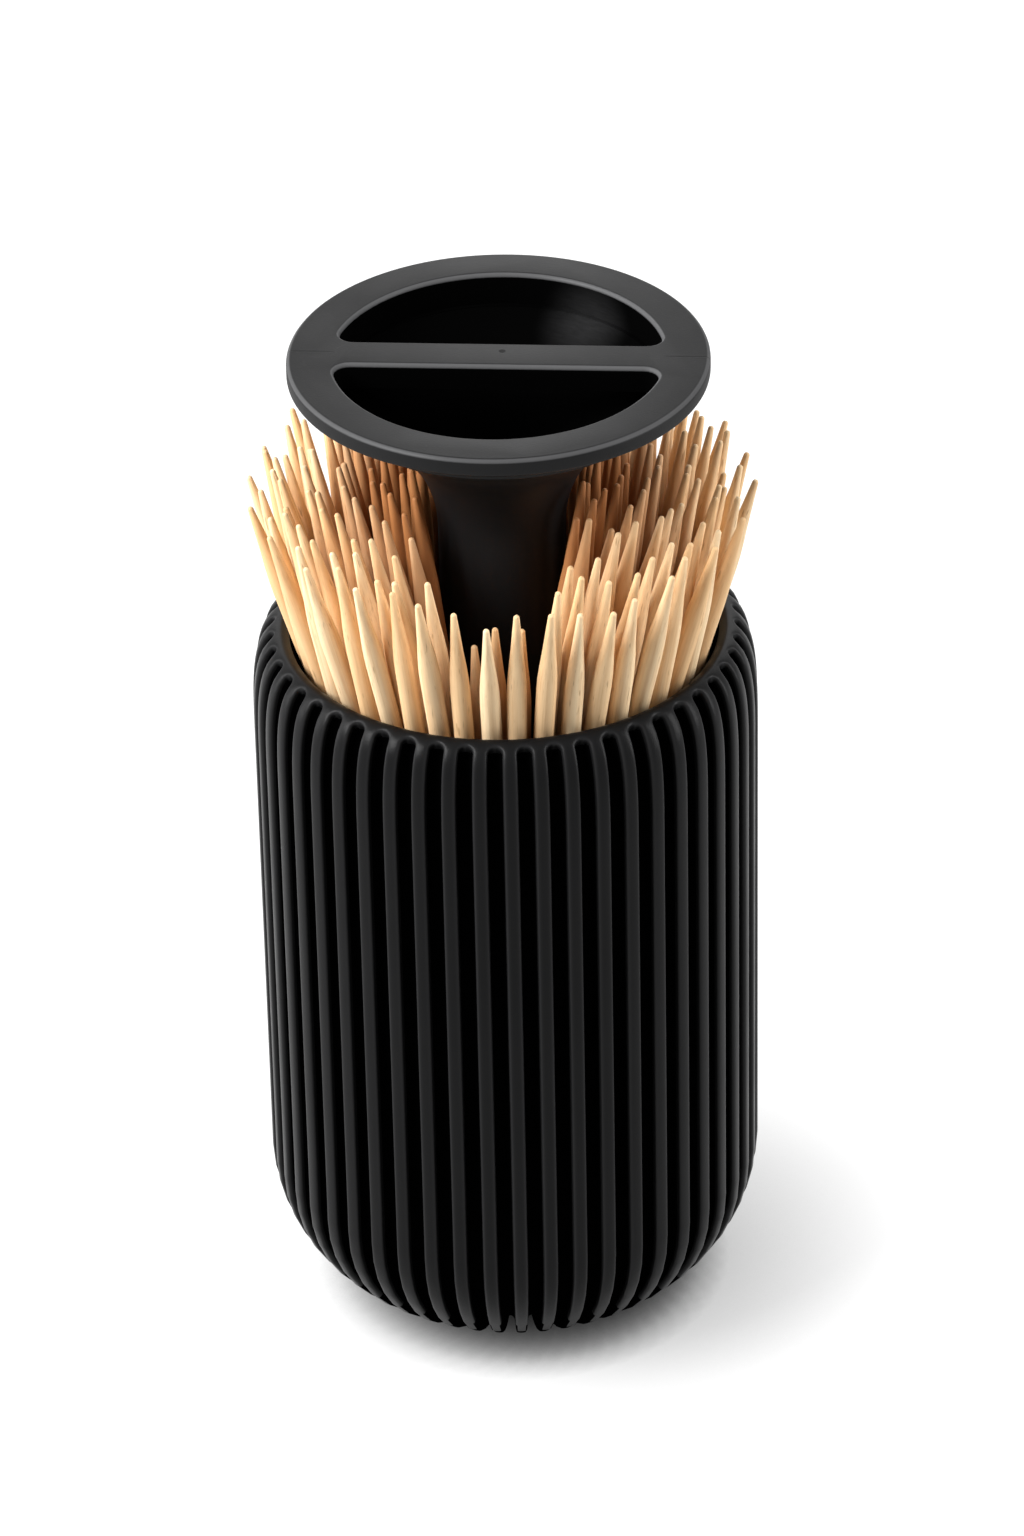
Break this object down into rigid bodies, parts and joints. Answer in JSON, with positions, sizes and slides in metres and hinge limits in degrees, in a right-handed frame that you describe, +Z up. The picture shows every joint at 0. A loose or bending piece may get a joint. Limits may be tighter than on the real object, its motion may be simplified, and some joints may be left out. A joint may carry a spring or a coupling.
{
  "type": "toothpick dispenser",
  "caption": "Fluted cup with a pull-up lifter: a disc with two finger openings and a bar raises a tray, so that the toothpicks fan out over the rounded lip.",
  "frame": {"origin": "centre of the underside of the foot pad, on the cup's axis", "axes": "+Z up the cup's axis, X along the finger bar of the lifter"},
  "size_m": [0.056, 0.056, 0.12],
  "materials": {
    "cup_plastic": "fine satin, moulded",
    "lifter_plastic": "fine satin, moulded",
    "tray_plastic": "matte, moulded",
    "silicone": "matte",
    "zinc_steel": "zinc plated",
    "birch": "raw, fine grain"
  },
  "bodies": {
    "cup": {"cup": "cup_plastic", "foot_pad": "silicone"},
    "glide": {"friction_ring": "silicone"},
    "lifter": {"lifter": "lifter_plastic", "pick_tray": "tray_plastic", "tray_screw": "zinc_steel"},
    "pick_01": {"toothpick_01": "birch"},
    "pick_02": {"toothpick_02": "birch"},
    "pick_03": {"toothpick_03": "birch"},
    "pick_04": {"toothpick_04": "birch"},
    "pick_05": {"toothpick_05": "birch"},
    "pick_06": {"toothpick_06": "birch"},
    "pick_07": {"toothpick_07": "birch"},
    "pick_08": {"toothpick_08": "birch"},
    "pick_09": {"toothpick_09": "birch"},
    "pick_10": {"toothpick_10": "birch"},
    "pick_11": {"toothpick_11": "birch"},
    "pick_12": {"toothpick_12": "birch"},
    "pick_13": {"toothpick_13": "birch"},
    "pick_14": {"toothpick_14": "birch"},
    "pick_15": {"toothpick_15": "birch"},
    "pick_16": {"toothpick_16": "birch"},
    "pick_17": {"toothpick_17": "birch"},
    "pick_18": {"toothpick_18": "birch"},
    "pick_19": {"toothpick_19": "birch"},
    "pick_20": {"toothpick_20": "birch"},
    "pick_21": {"toothpick_21": "birch"},
    "pick_22": {"toothpick_22": "birch"},
    "pick_23": {"toothpick_23": "birch"},
    "pick_24": {"toothpick_24": "birch"},
    "pick_25": {"toothpick_25": "birch"},
    "pick_26": {"toothpick_26": "birch"},
    "pick_27": {"toothpick_27": "birch"},
    "pick_28": {"toothpick_28": "birch"},
    "pick_29": {"toothpick_29": "birch"},
    "pick_30": {"toothpick_30": "birch"},
    "pick_31": {"toothpick_31": "birch"},
    "pick_32": {"toothpick_32": "birch"},
    "pick_33": {"toothpick_33": "birch"},
    "pick_34": {"toothpick_34": "birch"},
    "pick_35": {"toothpick_35": "birch"},
    "pick_36": {"toothpick_36": "birch"},
    "pick_37": {"toothpick_37": "birch"},
    "pick_38": {"toothpick_38": "birch"},
    "pick_39": {"toothpick_39": "birch"},
    "pick_40": {"toothpick_40": "birch"},
    "pick_41": {"toothpick_41": "birch"},
    "pick_42": {"toothpick_42": "birch"},
    "pick_43": {"toothpick_43": "birch"},
    "pick_44": {"toothpick_44": "birch"},
    "pick_45": {"toothpick_45": "birch"},
    "pick_46": {"toothpick_46": "birch"},
    "pick_47": {"toothpick_47": "birch"},
    "pick_48": {"toothpick_48": "birch"}
  },
  "joints": [
    {"name": "lift", "type": "slide", "parent": "cup", "child": "glide", "axis": [0, 0, 1], "range_m": [-0.0334, 0]},
    {"name": "swivel", "type": "hinge", "parent": "glide", "child": "lifter", "pos_m": [0, 0, 0.047], "axis": [0, 0, 1], "continuous": true},
    {"name": "lean_01", "type": "hinge", "parent": "lifter", "child": "pick_01", "pos_m": [0.009, 0, 0.04138], "axis": [0.0003, 1, 0], "range_deg": [-12, 0]},
    {"name": "lean_02", "type": "hinge", "parent": "lifter", "child": "pick_02", "pos_m": [0.01249, 0.00167, 0.04217], "axis": [-0.1324, 0.9912, 0], "range_deg": [-9.4, 0]},
    {"name": "lean_03", "type": "hinge", "parent": "lifter", "child": "pick_03", "pos_m": [0.00869, 0.00235, 0.04138], "axis": [-0.2608, 0.9654, 0], "range_deg": [-12, 0]},
    {"name": "lean_04", "type": "hinge", "parent": "lifter", "child": "pick_04", "pos_m": [0.01166, 0.00477, 0.04217], "axis": [-0.3786, 0.9255, 0], "range_deg": [-9.4, 0]},
    {"name": "lean_05", "type": "hinge", "parent": "lifter", "child": "pick_05", "pos_m": [0.00782, 0.00445, 0.04138], "axis": [-0.4948, 0.869, 0], "range_deg": [-12, 0]},
    {"name": "lean_06", "type": "hinge", "parent": "lifter", "child": "pick_06", "pos_m": [0.01001, 0.00766, 0.04217], "axis": [-0.6075, 0.7943, 0], "range_deg": [-9.4, 0]},
    {"name": "lean_07", "type": "hinge", "parent": "lifter", "child": "pick_07", "pos_m": [0.00638, 0.00635, 0.04138], "axis": [-0.7052, 0.7091, 0], "range_deg": [-12, 0]},
    {"name": "lean_08", "type": "hinge", "parent": "lifter", "child": "pick_08", "pos_m": [0.00763, 0.01002, 0.04217], "axis": [-0.7957, 0.6057, 0], "range_deg": [-9.4, 0]},
    {"name": "lean_09", "type": "hinge", "parent": "lifter", "child": "pick_09", "pos_m": [0.00448, 0.00781, 0.04138], "axis": [-0.8672, 0.498, 0], "range_deg": [-12, 0]},
    {"name": "lean_10", "type": "hinge", "parent": "lifter", "child": "pick_10", "pos_m": [0.00481, 0.01165, 0.04217], "axis": [-0.9244, 0.3815, 0], "range_deg": [-9.4, 0]},
    {"name": "lean_11", "type": "hinge", "parent": "lifter", "child": "pick_11", "pos_m": [0.00232, 0.00869, 0.04138], "axis": [-0.9661, 0.2581, 0], "range_deg": [-12, 0]},
    {"name": "lean_12", "type": "hinge", "parent": "lifter", "child": "pick_12", "pos_m": [0.00162, 0.01249, 0.04217], "axis": [-0.9917, 0.1286, 0], "range_deg": [-9.4, 0]},
    {"name": "lean_13", "type": "hinge", "parent": "lifter", "child": "pick_13", "pos_m": [0.00004, 0.009, 0.04138], "axis": [-1, 0.0043, 0], "range_deg": [-12, 0]},
    {"name": "lean_14", "type": "hinge", "parent": "lifter", "child": "pick_14", "pos_m": [-0.00163, 0.01249, 0.04217], "axis": [-0.9915, -0.1298, 0], "range_deg": [-9.4, 0]},
    {"name": "lean_15", "type": "hinge", "parent": "lifter", "child": "pick_15", "pos_m": [-0.00229, 0.0087, 0.04138], "axis": [-0.967, -0.2548, 0], "range_deg": [-12, 0]},
    {"name": "lean_16", "type": "hinge", "parent": "lifter", "child": "pick_16", "pos_m": [-0.00488, 0.01162, 0.04217], "axis": [-0.922, -0.3873, 0], "range_deg": [-9.4, 0]},
    {"name": "lean_17", "type": "hinge", "parent": "lifter", "child": "pick_17", "pos_m": [-0.00446, 0.00782, 0.04138], "axis": [-0.8687, -0.4953, 0], "range_deg": [-12, 0]},
    {"name": "lean_18", "type": "hinge", "parent": "lifter", "child": "pick_18", "pos_m": [-0.00771, 0.00997, 0.04217], "axis": [-0.791, -0.6118, 0], "range_deg": [-9.4, 0]},
    {"name": "lean_19", "type": "hinge", "parent": "lifter", "child": "pick_19", "pos_m": [-0.00633, 0.0064, 0.04138], "axis": [-0.7108, -0.7034, 0], "range_deg": [-12, 0]},
    {"name": "lean_20", "type": "hinge", "parent": "lifter", "child": "pick_20", "pos_m": [-0.01001, 0.00765, 0.04217], "axis": [-0.6069, -0.7947, 0], "range_deg": [-9.4, 0]},
    {"name": "lean_21", "type": "hinge", "parent": "lifter", "child": "pick_21", "pos_m": [-0.00779, 0.00452, 0.04138], "axis": [-0.5017, -0.865, 0], "range_deg": [-12, 0]},
    {"name": "lean_22", "type": "hinge", "parent": "lifter", "child": "pick_22", "pos_m": [-0.01163, 0.00483, 0.04217], "axis": [-0.3838, -0.9234, 0], "range_deg": [-9.4, 0]},
    {"name": "lean_23", "type": "hinge", "parent": "lifter", "child": "pick_23", "pos_m": [-0.0087, 0.00229, 0.04138], "axis": [-0.2548, -0.967, 0], "range_deg": [-12, 0]},
    {"name": "lean_24", "type": "hinge", "parent": "lifter", "child": "pick_24", "pos_m": [-0.01248, 0.00172, 0.04217], "axis": [-0.1364, -0.9907, 0], "range_deg": [-9.4, 0]},
    {"name": "lean_25", "type": "hinge", "parent": "lifter", "child": "pick_25", "pos_m": [-0.009, 0.00005, 0.04138], "axis": [-0.0054, -1, 0], "range_deg": [-12, 0]},
    {"name": "lean_26", "type": "hinge", "parent": "lifter", "child": "pick_26", "pos_m": [-0.01248, -0.00171, 0.04217], "axis": [0.1356, -0.9908, 0], "range_deg": [-9.4, 0]},
    {"name": "lean_27", "type": "hinge", "parent": "lifter", "child": "pick_27", "pos_m": [-0.00869, -0.00233, 0.04138], "axis": [0.2589, -0.9659, 0], "range_deg": [-12, 0]},
    {"name": "lean_28", "type": "hinge", "parent": "lifter", "child": "pick_28", "pos_m": [-0.01167, -0.00476, 0.04217], "axis": [0.3781, -0.9258, 0], "range_deg": [-9.4, 0]},
    {"name": "lean_29", "type": "hinge", "parent": "lifter", "child": "pick_29", "pos_m": [-0.00777, -0.00455, 0.04138], "axis": [0.5051, -0.863, 0], "range_deg": [-12, 0]},
    {"name": "lean_30", "type": "hinge", "parent": "lifter", "child": "pick_30", "pos_m": [-0.00995, -0.00773, 0.04217], "axis": [0.6131, -0.79, 0], "range_deg": [-9.4, 0]},
    {"name": "lean_31", "type": "hinge", "parent": "lifter", "child": "pick_31", "pos_m": [-0.00639, -0.00633, 0.04138], "axis": [0.7038, -0.7104, 0], "range_deg": [-12, 0]},
    {"name": "lean_32", "type": "hinge", "parent": "lifter", "child": "pick_32", "pos_m": [-0.00768, -0.00999, 0.04217], "axis": [0.7928, -0.6095, 0], "range_deg": [-9.4, 0]},
    {"name": "lean_33", "type": "hinge", "parent": "lifter", "child": "pick_33", "pos_m": [-0.00453, -0.00777, 0.04138], "axis": [0.8638, -0.5039, 0], "range_deg": [-12, 0]},
    {"name": "lean_34", "type": "hinge", "parent": "lifter", "child": "pick_34", "pos_m": [-0.00485, -0.01163, 0.04217], "axis": [0.923, -0.3848, 0], "range_deg": [-9.4, 0]},
    {"name": "lean_35", "type": "hinge", "parent": "lifter", "child": "pick_35", "pos_m": [-0.00232, -0.0087, 0.04138], "axis": [0.9663, -0.2574, 0], "range_deg": [-12, 0]},
    {"name": "lean_36", "type": "hinge", "parent": "lifter", "child": "pick_36", "pos_m": [-0.0017, -0.01248, 0.04217], "axis": [0.9909, -0.1346, 0], "range_deg": [-9.4, 0]},
    {"name": "lean_37", "type": "hinge", "parent": "lifter", "child": "pick_37", "pos_m": [0.00002, -0.009, 0.04138], "axis": [1, 0.0024, 0], "range_deg": [-12, 0]},
    {"name": "lean_38", "type": "hinge", "parent": "lifter", "child": "pick_38", "pos_m": [0.00158, -0.0125, 0.04217], "axis": [0.9921, 0.1251, 0], "range_deg": [-9.4, 0]},
    {"name": "lean_39", "type": "hinge", "parent": "lifter", "child": "pick_39", "pos_m": [0.00229, -0.0087, 0.04138], "axis": [0.967, 0.2549, 0], "range_deg": [-12, 0]},
    {"name": "lean_40", "type": "hinge", "parent": "lifter", "child": "pick_40", "pos_m": [0.00487, -0.01162, 0.04217], "axis": [0.9224, 0.3862, 0], "range_deg": [-9.4, 0]},
    {"name": "lean_41", "type": "hinge", "parent": "lifter", "child": "pick_41", "pos_m": [0.00449, -0.0078, 0.04138], "axis": [0.8666, 0.4989, 0], "range_deg": [-12, 0]},
    {"name": "lean_42", "type": "hinge", "parent": "lifter", "child": "pick_42", "pos_m": [0.00766, -0.01, 0.04217], "axis": [0.794, 0.608, 0], "range_deg": [-9.4, 0]},
    {"name": "lean_43", "type": "hinge", "parent": "lifter", "child": "pick_43", "pos_m": [0.00637, -0.00636, 0.04138], "axis": [0.7063, 0.7079, 0], "range_deg": [-12, 0]},
    {"name": "lean_44", "type": "hinge", "parent": "lifter", "child": "pick_44", "pos_m": [0.00999, -0.00767, 0.04217], "axis": [0.609, 0.7932, 0], "range_deg": [-9.4, 0]},
    {"name": "lean_45", "type": "hinge", "parent": "lifter", "child": "pick_45", "pos_m": [0.00779, -0.00451, 0.04138], "axis": [0.5012, 0.8653, 0], "range_deg": [-12, 0]},
    {"name": "lean_46", "type": "hinge", "parent": "lifter", "child": "pick_46", "pos_m": [0.01161, -0.00489, 0.04217], "axis": [0.388, 0.9217, 0], "range_deg": [-9.4, 0]},
    {"name": "lean_47", "type": "hinge", "parent": "lifter", "child": "pick_47", "pos_m": [0.0087, -0.00231, 0.04138], "axis": [0.2561, 0.9666, 0], "range_deg": [-12, 0]},
    {"name": "lean_48", "type": "hinge", "parent": "lifter", "child": "pick_48", "pos_m": [0.0125, -0.00157, 0.04217], "axis": [0.1249, 0.9922, 0], "range_deg": [-9.4, 0]}
  ],
  "couplings": [
    {"joint": "lean_01", "follows": "lift", "rad_per_m": 6.2},
    {"joint": "lean_02", "follows": "lift", "rad_per_m": 4.85},
    {"joint": "lean_03", "follows": "lift", "rad_per_m": 6.2},
    {"joint": "lean_04", "follows": "lift", "rad_per_m": 4.85},
    {"joint": "lean_05", "follows": "lift", "rad_per_m": 6.2},
    {"joint": "lean_06", "follows": "lift", "rad_per_m": 4.85},
    {"joint": "lean_07", "follows": "lift", "rad_per_m": 6.2},
    {"joint": "lean_08", "follows": "lift", "rad_per_m": 4.85},
    {"joint": "lean_09", "follows": "lift", "rad_per_m": 6.2},
    {"joint": "lean_10", "follows": "lift", "rad_per_m": 4.85},
    {"joint": "lean_11", "follows": "lift", "rad_per_m": 6.2},
    {"joint": "lean_12", "follows": "lift", "rad_per_m": 4.85},
    {"joint": "lean_13", "follows": "lift", "rad_per_m": 6.2},
    {"joint": "lean_14", "follows": "lift", "rad_per_m": 4.85},
    {"joint": "lean_15", "follows": "lift", "rad_per_m": 6.2},
    {"joint": "lean_16", "follows": "lift", "rad_per_m": 4.85},
    {"joint": "lean_17", "follows": "lift", "rad_per_m": 6.2},
    {"joint": "lean_18", "follows": "lift", "rad_per_m": 4.85},
    {"joint": "lean_19", "follows": "lift", "rad_per_m": 6.2},
    {"joint": "lean_20", "follows": "lift", "rad_per_m": 4.85},
    {"joint": "lean_21", "follows": "lift", "rad_per_m": 6.2},
    {"joint": "lean_22", "follows": "lift", "rad_per_m": 4.85},
    {"joint": "lean_23", "follows": "lift", "rad_per_m": 6.2},
    {"joint": "lean_24", "follows": "lift", "rad_per_m": 4.85},
    {"joint": "lean_25", "follows": "lift", "rad_per_m": 6.2},
    {"joint": "lean_26", "follows": "lift", "rad_per_m": 4.85},
    {"joint": "lean_27", "follows": "lift", "rad_per_m": 6.2},
    {"joint": "lean_28", "follows": "lift", "rad_per_m": 4.85},
    {"joint": "lean_29", "follows": "lift", "rad_per_m": 6.2},
    {"joint": "lean_30", "follows": "lift", "rad_per_m": 4.85},
    {"joint": "lean_31", "follows": "lift", "rad_per_m": 6.2},
    {"joint": "lean_32", "follows": "lift", "rad_per_m": 4.85},
    {"joint": "lean_33", "follows": "lift", "rad_per_m": 6.2},
    {"joint": "lean_34", "follows": "lift", "rad_per_m": 4.85},
    {"joint": "lean_35", "follows": "lift", "rad_per_m": 6.2},
    {"joint": "lean_36", "follows": "lift", "rad_per_m": 4.85},
    {"joint": "lean_37", "follows": "lift", "rad_per_m": 6.2},
    {"joint": "lean_38", "follows": "lift", "rad_per_m": 4.85},
    {"joint": "lean_39", "follows": "lift", "rad_per_m": 6.2},
    {"joint": "lean_40", "follows": "lift", "rad_per_m": 4.85},
    {"joint": "lean_41", "follows": "lift", "rad_per_m": 6.2},
    {"joint": "lean_42", "follows": "lift", "rad_per_m": 4.85},
    {"joint": "lean_43", "follows": "lift", "rad_per_m": 6.2},
    {"joint": "lean_44", "follows": "lift", "rad_per_m": 4.85},
    {"joint": "lean_45", "follows": "lift", "rad_per_m": 6.2},
    {"joint": "lean_46", "follows": "lift", "rad_per_m": 4.85},
    {"joint": "lean_47", "follows": "lift", "rad_per_m": 6.2},
    {"joint": "lean_48", "follows": "lift", "rad_per_m": 4.85}
  ]
}
